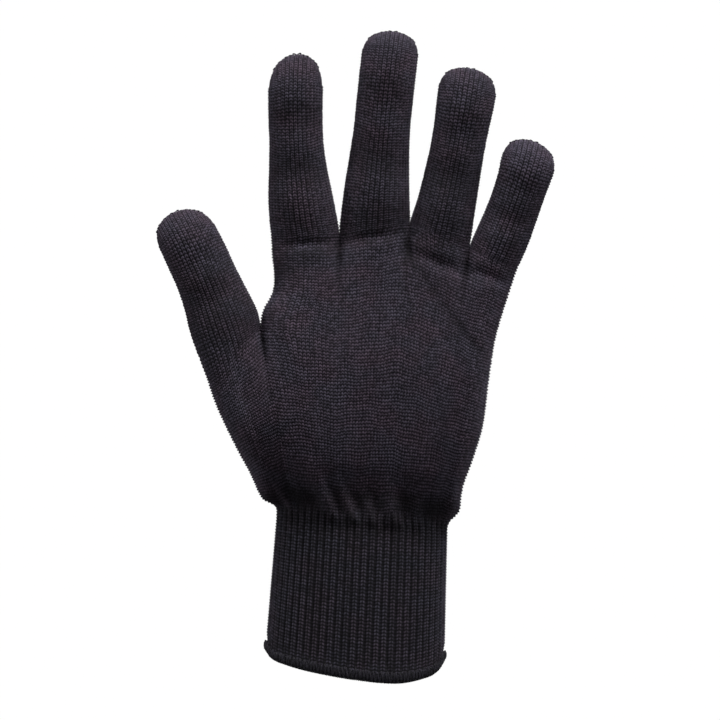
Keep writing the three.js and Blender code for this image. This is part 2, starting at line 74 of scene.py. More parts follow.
# Driving sizes: digits. The widths, bow and cap are shares of FINGER_WIDTH, thick and thin of
# FINGER_DEPTH, and wales counts the columns of stitches on either side.
FINGER_WIDTH = 20.0
FINGER_DEPTH = 20.0
ROOT_START = 0.5
ROOT_PAD = 4.0
CREASE_DEPTH = 1.6
CREASE_DROP = 7.0
CREASE_REACH = 2.4
DIGITS = (
    dict(name="thumb", length=57.6, base=1.34, angle=40.7, root=1.32, waist=1.145, tip=1.115,
         thick=1.3, thin=0.95, pad=0.0, crease=0.0, lean=-23.0, bow=0.08, cap=0.5,
         flex=(2, 2, -14), wales=21),
    dict(name="index_finger", length=69.4, base=1.282, angle=3.4, root=1.2, waist=0.99, tip=1.005,
         thick=1.1, thin=0.9, pad=1.0, crease=0.45, lean=-2.8, bow=-0.09, cap=0.62,
         flex=(9, 3, -12), wales=19),
    dict(name="middle_finger", length=75.8, base=1.343, angle=7.9, root=1.205, waist=1.03, tip=1.035,
         thick=1.1, thin=0.925, pad=1.0, crease=0.4, lean=5.3, bow=-0.035, cap=0.38,
         flex=(10, 3, -12), wales=19),
    dict(name="ring_finger", length=65.8, base=1.22, angle=-23.4, root=1.08, waist=0.99, tip=1.065,
         thick=1.05, thin=0.9, pad=1.0, crease=1.35, lean=10.5, bow=0.035, cap=0.38,
         flex=(12, 4, -15), wales=18),
    dict(name="little_finger", length=48.2, base=0.975, angle=-21.7, root=0.98, waist=0.935, tip=1.01,
         thick=0.925, thin=0.825, pad=0.8, crease=1.0, lean=19.2, bow=0.06, cap=0.38,
         flex=(14, 4, -16), wales=16),
)
KNUCKLES = ((-0.06, 0.10), (0.34, 0.50), (0.62, 0.82))

# Tables: the first row names the columns.
STATIONS = (
    ("along", "base", "root", "waist", "tip", "thin", "pad", "swell"),
    (0.00, 1.0, 0.00, 0.00, 0.0, 0.00, 1.00, -0.04),
    (0.20, 0.0, 1.00, 0.00, 0.0, 0.15, 0.90, 0.03),
    (0.38, 0.0, 0.35, 0.65, 0.0, 0.45, 0.50, -0.04),
    (0.52, 0.0, 0.00, 1.00, 0.0, 0.65, 0.22, 0.03),
    (0.66, 0.0, 0.00, 0.80, 0.2, 0.85, 0.06, -0.04),
    (0.78, 0.0, 0.00, 0.20, 0.8, 0.97, 0.00, 0.05),
    (0.90, 0.0, 0.00, 0.00, 1.0, 1.00, 0.00, -0.06),
    (1.00, 0.0, 0.00, 0.00, 1.0, 1.00, 0.00, -0.26),
)
PALM_SECTIONS = (
    ("up", "thumb", "index_finger", "middle_finger", "ring_finger", "little_finger", "back"),
    (0.00, 0.50, 1.08, 1.14, 1.08, 0.50, 1.00),
    (0.06, 0.54, 1.03, 1.08, 1.03, 0.58, 0.96),
    (0.11, 0.74, 1.09, 1.13, 1.08, 0.76, 0.90),
    (0.16, 0.96, 1.29, 1.30, 1.26, 0.94, 0.86),
    (0.22, 1.16, 1.49, 1.47, 1.43, 1.10, 0.81),
    (0.34, 1.30, 1.57, 1.53, 1.50, 1.24, 0.78),
    (0.50, 1.26, 1.47, 1.48, 1.46, 1.24, 0.80),
    (0.72, 1.10, 1.37, 1.39, 1.36, 1.16, 0.80),
    (0.90, 1.00, 1.32, 1.34, 1.30, 1.10, 0.76),
)
THUMB_SIDE = (
    ("up", "out"), (0, 0), (0.04, -0.006), (0.10, 0.016), (0.18, 0.029), (0.34, 0.024),
    (0.50, 0.030), (0.80, 0.025), (1, 0),
)
INDEX_SIDE = (
    ("up", "out"), (0, 0), (0.20, -0.010), (0.42, -0.088), (0.62, -0.080), (0.80, -0.035), (1, 0),
)
LITTLE_SIDE = (
    ("up", "out"), (0, 0), (0.05, 0.026), (0.18, 0.014), (0.30, 0.024), (0.42, 0.026),
    (0.60, 0.003), (0.75, -0.011), (1, 0),
)
HEM_LINE = (
    ("across", "front", "back"),
    (-1.00, 0.00, 0.00), (-0.93, 0.26, 0.28), (-0.77, 0.44, 0.50), (-0.49, 0.64, 0.72),
    (0.00, 0.88, 0.95), (0.49, 1.00, 1.03), (0.82, 0.83, 0.84), (0.93, 0.65, 0.65), (1.00, 0.33, 0.33),
)
GATHERS = (
    ("side", "across", "slant", "width", "rise", "reach"),
    (-1, 0.98, -0.70, 0.17, 0.9, 0.26),
    (-1, 1.98, -0.65, 0.17, 1.0, 0.26),
    (-1, 2.38, -0.45, 0.12, 0.8, 0.20),
    (-1, 2.70, -0.25, 0.11, 0.6, 0.18),
    (-1, 3.08, -0.20, 0.17, 0.9, 0.22),
    (-1, 3.60, 0.05, 0.14, 0.4, 0.16),
    (-1, 4.65, 0.15, 0.30, 1.1, 0.20),
    (1, 0.70, -0.10, 0.20, 0.8, 0.22),
    (1, 1.50, -0.10, 0.18, 0.7, 0.26),
    (1, 2.30, 0.00, 0.17, 0.9, 0.22),
    (1, 3.10, 0.10, 0.18, 0.7, 0.27),
    (1, 3.90, 0.15, 0.18, 0.9, 0.22),
)

# Knit
COURSE = 1.1             # height of a stitch
PALM_COURSES = 90        # from the cuff to the foot of the fingers
THUMB_COURSES = 57       # of them, up to the crotch of the thumb
JOIN_COURSES = 4         # above the crotch, where a finger's piece begins
ACROSS = 4               # facets across a stitch
ALONG = 2                # and along it
STITCH_RELIEF = 0.75
PALM_V = 0.5             # how far the legs of a stitch climb, in courses: on the palm,
DIGIT_V = 0.5            # on the digits
RIB_V = 0.35             # and on the ribs
WALE_GROOVE = 0.55       # how much deeper the grooves between the wales are on the digits
THUMB_RELIEF = 0.72      # and the share of all that relief on the thumb
DIGIT_ROW = 0.50         # and how deep those between the courses are there
PALM_GROOVE = 0.45       # how dark the shade painted into the grooves between the wales is: on the palm, on the digits and between the ribs
DIGIT_GROOVE = 0.9       # on the digits
RIB_GROOVE = 1.0         # and between the ribs
COURSE_SHAKE = 0.16      # unevenness of the stitches: their height in courses
RELIEF_SHAKE = 0.10      # and their relief
SEED = 7
RIBS = 58
RIB_SECTION = (
    ("place", "height", "leg"),
    (0.00, -1.00, 0.3), (0.13, -0.70, 0.3), (0.28, 0.75, 1.0), (0.50, 0.15, 0.1),
    (0.72, 0.75, 1.0), (0.87, -0.70, 0.3),
)
RIB_COURSES = 44
RIB_RELIEF = 0.7
RIB_RUN = 9              # courses over which the ribs run out above the cuff
RIB_SINK = 1.0           # how deep under the hand's knit they end
KNIT_SINK = 0.9          # and how deep under the ribs that knit begins

# Painted light and shade in the folds, crotches, creases, knuckles and on the tips, as shares of the yarn's brightness
GATHER_SHADE = 0.80      # in the hollows between the gathers
FOLD_LIGHT = 0.55        # and how much of it the gathers themselves are spared
GATHER_TOP = 0.15        # the hollows end this far up the palm
GATHER_FADE = 0.06
HEEL_LIGHT = 0.20        # above them
HEEL_PLACE = 0.20
HEEL_REACH = 0.05
CUFF_SHADE = 0.40        # and on the cuff's upper courses
CUFF_SHADE_RUN = 6
CROTCH_SHADE = 0.75
VALLEY_LIGHT = 0.45      # along the valley below the crotch of the thumb
VALLEY_WIDTH = 0.07
VALLEY_PLACE = 14.0
VALLEY_REACH = 7.0
CREASE_FADE = 9.0        # how far the creases' shade reaches up the fingers
CREASE_LIP = 2.6         # and down the palm
# Painted shade along the creases at the fingers' feet, by place across the hand; a negative share paints light
CREASE_LINE = (
    ("across", "drop", "shade"),
    (1, 20, 0.30), (2, 3, 0.35), (3, 3, 0.35), (3.5, 9.5, 0.30), (4.2, 8, 0.10), (4.6, 7, -0.60), (5, 7, -0.60),
)
# Painted light on the digits' tips
TIP_LIGHT = 0.15
# Painted shade across the digits at their knuckles and feet; a negative share paints light
KNUCKLE_SHADES = (
    ("digit", "along", "width", "shade"),
    ("thumb", 0.22, 0.26, 0.35),
    ("thumb", 0.52, 0.06, 0.25),
    ("index_finger", 0.38, 0.09, 0.42),
    ("index_finger", 0.69, 0.06, 0.22),
    ("index_finger", 1.00, 0.15, 0.24),
    ("middle_finger", 0.04, 0.16, 0.20),
    ("ring_finger", 0.04, 0.16, 0.16),
    ("index_finger", 0.06, 0.14, 0.14),
    ("middle_finger", 0.36, 0.09, 0.40),
    ("middle_finger", 0.73, 0.05, 0.15),
    ("ring_finger", 0.34, 0.11, 0.40),
    ("little_finger", 0.55, 0.06, 0.18),
    ("little_finger", 0.83, 0.12, -0.45),
)
# The crease across the palm, from its outer side up to the crotch beside the ring finger
PALM_CREASE = (("height", "across"), (121, 47), (132, 38), (146, 28), (161, 19))
PALM_CREASE_WIDTH = 2.2
PALM_CREASE_DEPTH = 0.5
# Painted shade along the crease, as a share of the yarn's brightness
PALM_CREASE_SHADE = 0.40


def smooth(t):
    c = np.clip(t, 0, 1)
    return c * c * (3 - 2 * c)


def mix(a, b, t):
    return a + (b - a) * t


def column(table, name):
    place = table[0].index(name)
    return np.array([row[place] for row in table[1:]], float)


def curve(x, y, at):
    """The smooth curve through the points x, y. y may hold a row of values for each x."""
    at = np.clip(at, x[0], x[-1])
    k = np.clip(np.searchsorted(x, at, side="right") - 1, 0, len(x) - 2)
    below = np.maximum(np.arange(len(x)) - 1, 0)
    above = np.minimum(np.arange(len(x)) + 1, len(x) - 1)
    run = (x[above] - x[below]).reshape((-1,) + (1,) * (y.ndim - 1))
    slope = (y[above] - y[below]) / run

    def pick(values, row):
        return values[row] if values.ndim == 1 else values[row, np.arange(values.shape[1])]

    span = x[k + 1] - x[k]
    t = (at - x[k]) / span
    t2, t3 = t * t, t * t * t
    return (
        (2 * t3 - 3 * t2 + 1) * pick(y, k) + (t3 - 2 * t2 + t) * span * pick(slope, k)
        + (3 * t2 - 2 * t3) * pick(y, k + 1) + (t3 - t2) * span * pick(slope, k + 1)
    )


def read(table, name, at):
    return curve(column(table, table[0][0]), column(table, name), at)


# The glove's surface, as in the part's source

def spot(x, y, z):
    return np.array([x, y, z], float)


def along_line(start, end, share):
    return start + (end - start) * np.asarray(share)[..., None]


def base_step(digit):
    turn = math.radians(digit["angle"])
    return spot(math.cos(turn), 0, math.sin(turn)) * digit["base"] * FINGER_WIDTH


wrist = spot(CUFF_SHIFT, 0, CUFF_HEIGHT)
wrist_left = wrist + spot(-CUFF_TOP_WIDTH / 2, 0, CUFF_TOP_DROP / 2)
wrist_right = wrist + spot(CUFF_TOP_WIDTH / 2, 0, -CUFF_TOP_DROP / 2)
thumb_crotch = wrist + spot(-THUMB_CROTCH_OUT, 0, THUMB_CROTCH_HEIGHT)
thumb_outer = thumb_crotch - base_step(DIGITS[0])
knuckle_line = [wrist + spot(-PALM_SHIFT, 0, PALM_LENGTH)]
for digit in DIGITS[1:]:
    knuckle_line.append(knuckle_line[-1] + base_step(digit))


def oval_angle(across):
    return np.radians(-90 + np.asarray(across) * 180 / len(DIGITS))


def outline(start, end, table, up, hand):
    line = end - start
    outward = spot(line[2], 0, -line[0]) * hand
    return along_line(start, end, up) + outward * read(table, "out", up)[..., None]


def forward(across, up):
    fade = smooth((1.7 - across) / 1.7)
    swell = np.where(up < THUMB_SHARE, smooth(up / THUMB_SHARE), smooth((1 - up) / (1 - THUMB_SHARE)))
    return -THUMB_FORWARD * fade * swell


def guide(line, up):
    if line == 0:
        point = outline(wrist_left, thumb_outer, THUMB_SIDE, up / THUMB_SHARE, -1)
    elif line == len(DIGITS):
        point = outline(wrist_right, knuckle_line[-1], LITTLE_SIDE, up, 1)
    else:
        start = along_line(wrist_left, wrist_right, (1 + math.sin(oval_angle(line))) / 2)
        if line > 1:
            point = along_line(start, knuckle_line[line - 1], up)
        else:
            lower = along_line(start, thumb_crotch, up / THUMB_SHARE)
            over = (up - THUMB_SHARE) / (1 - THUMB_SHARE)
            upper = outline(thumb_crotch, knuckle_line[0], INDEX_SIDE, np.clip(over, 0, 1), -1)
            point = np.where((up <= THUMB_SHARE)[:, None], lower, upper)
    point[:, 1] = forward(line, up)
    return point


def openness(line, up):
    if line in (0, len(DIGITS)):
        return np.zeros_like(up)
    crotch = THUMB_SHARE if line == 1 else 1
    below = np.clip((crotch - up) / (WEB_REACH / PALM_LENGTH), 0, 1)
    return np.sqrt(1 - (1 - below) ** 2)


def dent(across, up):
    """How deep the fabric folds in below the crotches between the digits."""
    depth = np.zeros_like(up)
    for line in range(1, len(DIGITS)):
        beside = (across - line) / CROTCH_WIDTH
        below = np.maximum((THUMB_SHARE if line == 1 else 1) - up, 0) * PALM_LENGTH / CROTCH_REACH
        depth += CROTCH_DENT * below * np.exp(1 - below - beside * beside)
    return depth


def palm_depth(across, up, side):
    depths = []
    for i, digit in enumerate(DIGITS):
        palm = read(PALM_SECTIONS, digit["name"] if side < 0 else "back", up) * PALM_HALF_DEPTH
        top = THUMB_SHARE if i == 0 else 1
        away = ((top - up) * PALM_LENGTH - digit["crease"] * CREASE_DROP) / CREASE_REACH
        crease = CREASE_DEPTH * np.exp(-away * away) if side < 0 and i > 0 else 0
        root = digit["thick"] * FINGER_DEPTH / 2 + (digit["pad"] * ROOT_PAD if side < 0 else 0)
        depths.append(mix(palm, root, smooth((up / top - ROOT_START) / (1 - ROOT_START))) - crease)
    return curve(np.arange(len(DIGITS)) + 0.5, np.array(depths), across) - dent(across, up)


def gather(across, up, side):
    """How high the gathers above the cuff rise."""
    rise = np.zeros_like(up)
    for fold_side, middle, slant, width, share, reach in GATHERS[1:]:
        if fold_side != side:
            continue
        climb = np.clip(up / reach, 0, 1)
        away = (across - middle - slant * climb) / width
        rise += share * GATHER_RISE * np.exp(-away * away) * np.sin(math.pi * climb ** GATHER_SKEW) ** 2
    return rise


def strip_point(w, side, left, right, open_left, open_right, depth, depth_axis):
    opened = np.where(w < 0, open_left, open_right)
    t = np.abs(w)
    x = np.sign(w) * mix(np.sin(t * math.pi / 2), t, opened)
    height = mix(np.cos(t * math.pi / 2), 1, opened)
    return left + (right - left) * ((1 + x) / 2)[:, None] + depth_axis * (side * depth * height)[:, None]


def palm_point(index, w, side, up):
    across = index + (1 + w) / 2
    depth = palm_depth(across, up, side)
    point = strip_point(w, side, guide(index, up), guide(index + 1, up),
                        openness(index, up), openness(index + 1, up), depth, spot(0, 1, 0))
    turn = oval_angle(across)
    ring = along_line(wrist_left, wrist_right, (1 + np.sin(turn)) / 2)
    ring[:, 1] = side * CUFF_TOP_DEPTH / 2 * np.cos(turn)
    ring[:, 2] += guide(2, up)[:, 2] - guide(2, np.zeros_like(up))[:, 2]
    place = ring + (point - ring) * smooth(up / 0.1)[:, None]
    place[:, 1] += side * gather(across, up, side) * np.maximum(0, np.cos(turn))
    return place


def flex_at(digit, along):
    total = np.zeros_like(along)
    for turn, (start, end) in zip(digit["flex"], KNUCKLES):
        total += turn * smooth((along - start) / (end - start))
    return np.radians(total)


def digit_centre(digit, base, along):
    """The digit's middle line, summed up in short steps that lean with it and turn at its knuckles."""
    steps = np.linspace(0, 1, 201)
    flex = flex_at(digit, (steps[1:] + steps[:-1]) / 2)
    lean = math.radians(digit["lean"])
    step = digit["length"] / 200
    moves = np.stack([np.cos(flex) * math.sin(lean), -np.sin(flex), np.cos(flex) * math.cos(lean)], 1) * step
    places = np.concatenate([[spot(0, 0, 0)], np.cumsum(moves, 0)])
    centre = base + np.stack([np.interp(along, steps, places[:, i]) for i in range(3)], 1)
    bow = 4 * along * (1 - along) * digit["bow"] * FINGER_WIDTH
    return centre + spot(math.cos(lean), 0, -math.sin(lean)) * bow[:, None]


def cap_start_of(digit):
    """Where a digit's rounded tip begins, as a share of its length."""
    return 1 - digit["cap"] * FINGER_WIDTH / digit["length"]


def digit_point(index, w, side, along, closing):
    """A point of a digit. closing runs from 0, where the tip begins to close, to 1 on its seam."""
    digit = DIGITS[index]
    top = np.full_like(along, THUMB_SHARE if index == 0 else 1)
    left, right = guide(index, top), guide(index + 1, top)
    cap_start = cap_start_of(digit)
    side_room = np.cos(np.abs(w) * math.pi / 2)
    in_cap = np.sin(closing * math.pi / 2) * side_room
    along = np.where(closing > 0, mix(cap_start, 1, in_cap), along)
    lean = math.radians(digit["lean"])
    flex = flex_at(digit, along) - flex_at(digit, np.zeros_like(along))
    across = spot(math.cos(lean), 0, -math.sin(lean))
    depth_axis = np.stack([np.sin(flex) * math.sin(lean), np.cos(flex), np.sin(flex) * math.cos(lean)], 1)
    widths = sum(read(STATIONS, name, along) * digit[name] for name in ("root", "waist", "tip"))
    half = (right - left) * (read(STATIONS, "base", along) / 2)[:, None] + across * (widths * FINGER_WIDTH / 2)[:, None]
    own_depth = mix(digit["thick"], digit["thin"], read(STATIONS, "thin", along)) * FINGER_DEPTH / 2
    if side < 0:
        own_depth = own_depth * (1 + read(STATIONS, "swell", along))
        own_depth += digit["pad"] * ROOT_PAD * read(STATIONS, "pad", along)
    palm_end = palm_depth(index + (1 + w) / 2, top, side)
    depth = mix(palm_end, own_depth, smooth(along / 0.2)) * np.cos(closing * math.pi / 2)
    centre = digit_centre(digit, (left + right) / 2, along)
    flat = np.zeros_like(along)
    return strip_point(w, side, centre - half, centre + half, flat, flat, depth, depth_axis)


def hem_level(turn):
    across = np.sin(turn)
    share = np.where(np.cos(turn) > 0, read(HEM_LINE, "front", across), read(HEM_LINE, "back", across))
    return HEM_SIDE - HEM_DIP * share


def cuff_point(turn, up, out):
    width = mix(CUFF_HEM_WIDTH, CUFF_TOP_WIDTH, up) / 2
    depth = mix(CUFF_HEM_DEPTH, CUFF_TOP_DEPTH, up) / 2
    top = CUFF_HEIGHT - CUFF_TOP_DROP / 2 * np.sin(turn)
    outward = np.stack([depth * np.sin(turn), -width * np.cos(turn)], 1)
    outward /= np.linalg.norm(outward, axis=1)[:, None]
    x = width * np.sin(turn) + outward[:, 0] * out + CUFF_SHIFT * up
    y = -depth * np.cos(turn) + outward[:, 1] * out
    return np.stack([x, y, mix(hem_level(turn), top, up)], 1)


RING = np.linspace(0, 2 * math.pi, 721)
RING_STEPS = np.hypot((CUFF_HEM_WIDTH + CUFF_TOP_WIDTH) * np.cos(RING), (CUFF_HEM_DEPTH + CUFF_TOP_DEPTH) * np.sin(RING))
GIRTH = np.concatenate([[0], np.cumsum((RING_STEPS[1:] + RING_STEPS[:-1]) / 2)])
GIRTH /= GIRTH[-1]


def hand_surface(turn, v):
    """The hand's surface at an angle round the cuff, v courses above it."""
    across = (np.degrees(np.arcsin(np.clip(np.sin(turn), -1, 1))) + 90) * len(DIGITS) / 180
    strip = np.clip(across.astype(int), 0, len(DIGITS) - 1)
    front = np.cos(turn) > 0
    result = np.empty((len(turn), 3))
    for index in range(len(DIGITS)):
        for side, facing in ((-1, front), (1, ~front)):
            here = (strip == index) & facing
            w = 2 * (across[here] - index) - 1
            result[here] = palm_point(index, w, side, hand_courses(v[here]))
    return result


# Fabric: grids of stitches over that surface

class Fabric:
    """Strips of fabric that share their edges: places, stitch coordinates, painted shading and relief of a grid each.

    The painted shading holds how dark the shade painted in the grooves between the wales is, and the painted light and
    shade of the yarn.
    """

    def __init__(self):
        self.places, self.stitches, self.tones, self.reliefs, self.quads, self.labels = [], [], [], [], [], []
        self.size = 0

    def add(self, places, stitches, tones, relief, labels, outward):
        """Adds a grid. The first four are by row and column, labels by row; outward is 1 or -1."""
        rows, columns = relief.shape
        index = self.size + np.arange(rows * columns).reshape(rows, columns)
        a, b, c, d = index[:-1, :-1], index[:-1, 1:], index[1:, 1:], index[1:, :-1]
        corners = (a, b, c, d) if outward > 0 else (d, c, b, a)
        self.quads.append(np.stack(corners, -1).reshape(-1, 4))
        self.labels += [np.repeat(np.array(labels[:-1]), columns - 1)]
        self.places.append(places.reshape(-1, 3))
        self.stitches.append(stitches.reshape(-1, 2))
        self.tones.append(tones.reshape(-1, 2))
        self.reliefs.append(relief.reshape(-1))
        self.size += rows * columns

    def join(self):
        """Merges what lies in the same place and raises the relief along the surface's normals."""
        places = np.concatenate(self.places)
        self.stitch = np.concatenate(self.stitches)
        self.tone = np.concatenate(self.tones)
        relief = np.concatenate(self.reliefs)
        quads = np.concatenate(self.quads)
        self.label = np.concatenate(self.labels)
        keys = np.round(places * 2000).astype(np.int64)
        _, first, self.same = np.unique(keys, axis=0, return_index=True, return_inverse=True)
        self.same = self.same.reshape(-1)
        self.base = places[first]
        self.quad = quads
        merged = self.same[quads]
        p = self.base[merged]
        face = np.cross(p[:, 2] - p[:, 0], p[:, 3] - p[:, 1])
        normal = np.zeros_like(self.base)
        for corner in range(4):
            np.add.at(normal, merged[:, corner], face)
        self.normal = normal / np.maximum(np.linalg.norm(normal, axis=1), 1e-9)[:, None]
        self.surface = self.base + self.normal * relief[first][:, None]

    def mesh(self, name, label, thickness=0.0):
        """A Blender mesh object of the facets with a label, on the outside or at a depth inside."""
        chosen = self.quad[self.label == label]
        merged = self.same[chosen]
        used, local = np.unique(merged, return_inverse=True)
        local = local.reshape(merged.shape)
        places = self.surface[used] if thickness == 0 else self.base[used] - self.normal[used] * thickness
        if thickness:
            local, chosen = local[:, ::-1], chosen[:, ::-1]
        corners = chosen.reshape(-1)
        return mesh_object(name, places, local, dict(stitches=self.stitch[corners], tone=self.tone[corners]))


def mesh_object(name, places, faces, layers):
    """Makes an object of four-sided faces. Faces with corners that coincide become triangles or go."""
    mesh = bpy.data.meshes.new(name)
    faces = np.asarray(faces)
    mesh.from_pydata((places * MM).tolist(), [], faces.tolist())
    for layer_name, values in layers.items():
        layer = mesh.uv_layers.new(name=layer_name)
        layer.data.foreach_set("uv", values.astype(np.float32).reshape(-1))
    mesh.validate()
    mesh.shade_smooth()
    made = bpy.data.objects.new(name, mesh)
    bpy.context.collection.objects.link(made)
    return made


def joined(name, parts):
    """Joins mesh objects into one."""
    with bpy.context.temp_override(active_object=parts[0], selected_editable_objects=parts):
        bpy.ops.object.join()
    parts[0].name = name
    parts[0].data.name = name
    return parts[0]


def hand_courses(v):
    """How far up the palm a course lies. The crotch of the thumb falls on a whole row of facets."""
    lower = v / THUMB_COURSES * THUMB_SHARE
    upper = THUMB_SHARE + (v - THUMB_COURSES) / (PALM_COURSES - THUMB_COURSES) * (1 - THUMB_SHARE)
    return np.where(v <= THUMB_COURSES, lower, upper)


def digit_courses(digit):
    """Courses of a digit's tube, and of its closed tip."""
    cap, depth = digit["cap"] * FINGER_WIDTH, digit["thin"] * FINGER_DEPTH / 2
    tip_arc = math.pi / 2 * math.sqrt((cap ** 2 + depth ** 2) / 2)
    return round((digit["length"] - cap) / COURSE), round(tip_arc / COURSE)


def strip_surface(index, w, side, v):
    """The surface of a digit's strip, from the cuff over the palm to its tip, at course v."""
    digit = DIGITS[index]
    foot = THUMB_COURSES if index == 0 else PALM_COURSES
    body, tip = digit_courses(digit)
    cap_start = cap_start_of(digit)
    result = np.empty((len(v), 3))
    low = v < foot
    result[low] = palm_point(index, w[low], side, hand_courses(v[low]))
    high = ~low
    over = v[high] - foot
    along = np.clip(over / body, 0, 1) * cap_start
    closing = np.clip((over - body) / tip, 0, 1)
    result[high] = digit_point(index, w[high], side, along, closing)
    return result


def knit_relief(u, v, row):
    """Height of a jersey stitch: two legs that meet in a V, with a groove of a depth between the rows."""
    between_legs = 0.5 * np.sin(math.pi * u) ** 4
    leg = np.maximum(np.abs(np.sin(2 * math.pi * u)), between_legs)
    crest = 1 - row * (0.5 - 0.5 * np.cos(2 * math.pi * v))
    return (0.45 + 0.55 * leg) * crest + 0.2 * leg - 0.5


def wander(wale, course):
    """How far the courses stray from straight lines, in courses."""
    return (
        0.22 * np.sin(0.31 * wale + 0.17 * course) + 0.18 * np.sin(0.23 * course - 0.41 * wale + 1.0)
        + 0.12 * np.sin(0.83 * wale + 0.05 * course + 2.0)
    )


def fold_shade(index, across, side, v):
    """Painted light and shade as a share of the yarn's brightness: painted shade in the hollows between the gathers, at
    the crotches, in the creases and at the knuckles; painted light above the gathers, along the thumb's valley and on
    the tips.
    """
    foot = THUMB_COURSES if index == 0 else PALM_COURSES
    up = hand_courses(np.minimum(v, foot))
    fold = np.clip(gather(across, up, side) / GATHER_RISE, 0, 1)
    shade = 1 - GATHER_SHADE * smooth((GATHER_TOP - up) / GATHER_FADE) * (1 - FOLD_LIGHT * fold)
    shade *= 1 + HEEL_LIGHT * np.exp(-((up - HEEL_PLACE) / HEEL_REACH) ** 2)
    shade *= 1 - CROTCH_SHADE * np.clip(dent(across, up) / CROTCH_DENT, 0, 1)
    away = ((THUMB_SHARE - up) * PALM_LENGTH - VALLEY_PLACE) / VALLEY_REACH
    shade *= 1 + VALLEY_LIGHT * np.exp(-away * away - ((across - 1) / VALLEY_WIDTH) ** 2)
    body = digit_courses(DIGITS[index])[0]
    if side < 0 and index > 0:
        drop = np.where(v < foot, (1 - up) * PALM_LENGTH, (foot - v) * COURSE)
        places = column(CREASE_LINE, "across")
        away = drop - np.interp(across, places, column(CREASE_LINE, "drop"))
        depth = np.interp(across, places, column(CREASE_LINE, "shade"))
        away = away / np.where(away > 0, CREASE_LIP, np.where(depth > 0, CREASE_FADE, CREASE_REACH))
        shade *= 1 - depth * np.exp(-away * away)
    if side < 0:
        along = np.clip((v - foot) / body, 0, 1) * cap_start_of(DIGITS[index])
        for digit, middle, width, share in KNUCKLE_SHADES[1:]:
            if digit == DIGITS[index]["name"]:
                shade *= 1 - share * np.exp(-((along - middle) / width) ** 2) * smooth((v - foot) / JOIN_COURSES + 1)
    return shade * (1 + TIP_LIGHT * smooth((v - foot - body) / 10 + 1))


def palm_crease(places):
    """How much a place lies in the crease across the palm: 1 along its middle."""
    height = places[..., 2]
    line, ends = column(PALM_CREASE, "across"), column(PALM_CREASE, "height")
    away = (places[..., 0] - curve(ends, line, height)) / PALM_CREASE_WIDTH
    return np.exp(-away * away) * smooth((height - ends[0]) / 6 + 1) * smooth((ends[-1] - height) / 3 + 1)


def knit_hand():
    """The hand's knit, and its coarser lining at the fabric's inner side."""
    fabric, lining = Fabric(), Fabric()
    chance = np.random.default_rng(SEED)
    first_wale = 0
    for index, digit in enumerate(DIGITS):
        foot = THUMB_COURSES if index == 0 else PALM_COURSES
        total = foot + sum(digit_courses(digit))
        v = np.arange(0, total * ALONG + 1) / ALONG
        u = np.arange(0, digit["wales"] * ACROSS + 1) / ACROSS
        uu, vv = np.meshgrid(u, v)
        ends = np.clip(np.minimum(vv, (total - vv) / 2), 0, 1)
        on_digit = smooth((vv - foot + 8) / 16)
        climb = mix(PALM_V, DIGIT_V, on_digit) * (1 - np.abs(2 * (uu % 1) - 1)) + wander(first_wale + uu, vv)
        share = uu / digit["wales"]
        w = -1 + 2 * share
        labels = np.where(v < foot + JOIN_COURSES, "hand", digit["name"])
        in_tip = np.clip((vv - foot - digit_courses(digit)[0]) / 3, 0, 1)
        fade = mix(1, np.cos(w * math.pi / 2), in_tip) * np.clip((total - vv) / 1.5, 0, 1)
        relief = STITCH_RELIEF * knit_relief(uu % 1, vv % 1, mix(1, DIGIT_ROW, on_digit)) * fade
        relief -= WALE_GROOVE * on_digit * (1 - np.abs(np.sin(math.pi * uu))) ** 3 * fade
        if index == 0:
            relief = relief * mix(1, THUMB_RELIEF, on_digit)
        relief -= KNIT_SINK * smooth(1 - vv / RIB_RUN)
        first_wale += digit["wales"]
        for side in (-1, 1):
            uneven = chance.uniform(-1, 1, relief.shape)
            uneven[:, (0, -1)] = 0
            strayed = vv + (climb + COURSE_SHAKE * uneven) * ends
            places = strip_surface(index, w.reshape(-1), side, strayed.reshape(-1)).reshape(*uu.shape, 3)
            stitches = np.stack([uu + index * 40 + (100 if side > 0 else 0) * 3, vv], -1)
            shade = fold_shade(index, index + share, side, vv)
            named = labels if side < 0 else np.where(labels == "hand", "hand_back", labels)
            rise = relief + RELIEF_SHAKE * chance.uniform(-1, 1, relief.shape) * fade
            if side < 0:
                creased = palm_crease(places) * (vv < foot)
                # Painted shade along the palm's crease, which is also pressed into the relief
                shade *= 1 - PALM_CREASE_SHADE * creased
                rise -= PALM_CREASE_DEPTH * creased
            # The painted shade in the grooves between the wales, and the painted light and shade of the folds, creases
            # and tips
            tones = np.stack([mix(PALM_GROOVE, DIGIT_GROOVE, on_digit), shade], -1)
            fabric.add(places, stitches, tones, rise, list(named), -side)
            coarse = (slice(None, None, ALONG), slice(None, None, ACROSS))
            lining.add(places[coarse], stitches[coarse], tones[coarse], rise[coarse], list(named[::ALONG]), -side)
    fabric.join()
    lining.join()
    return fabric, lining


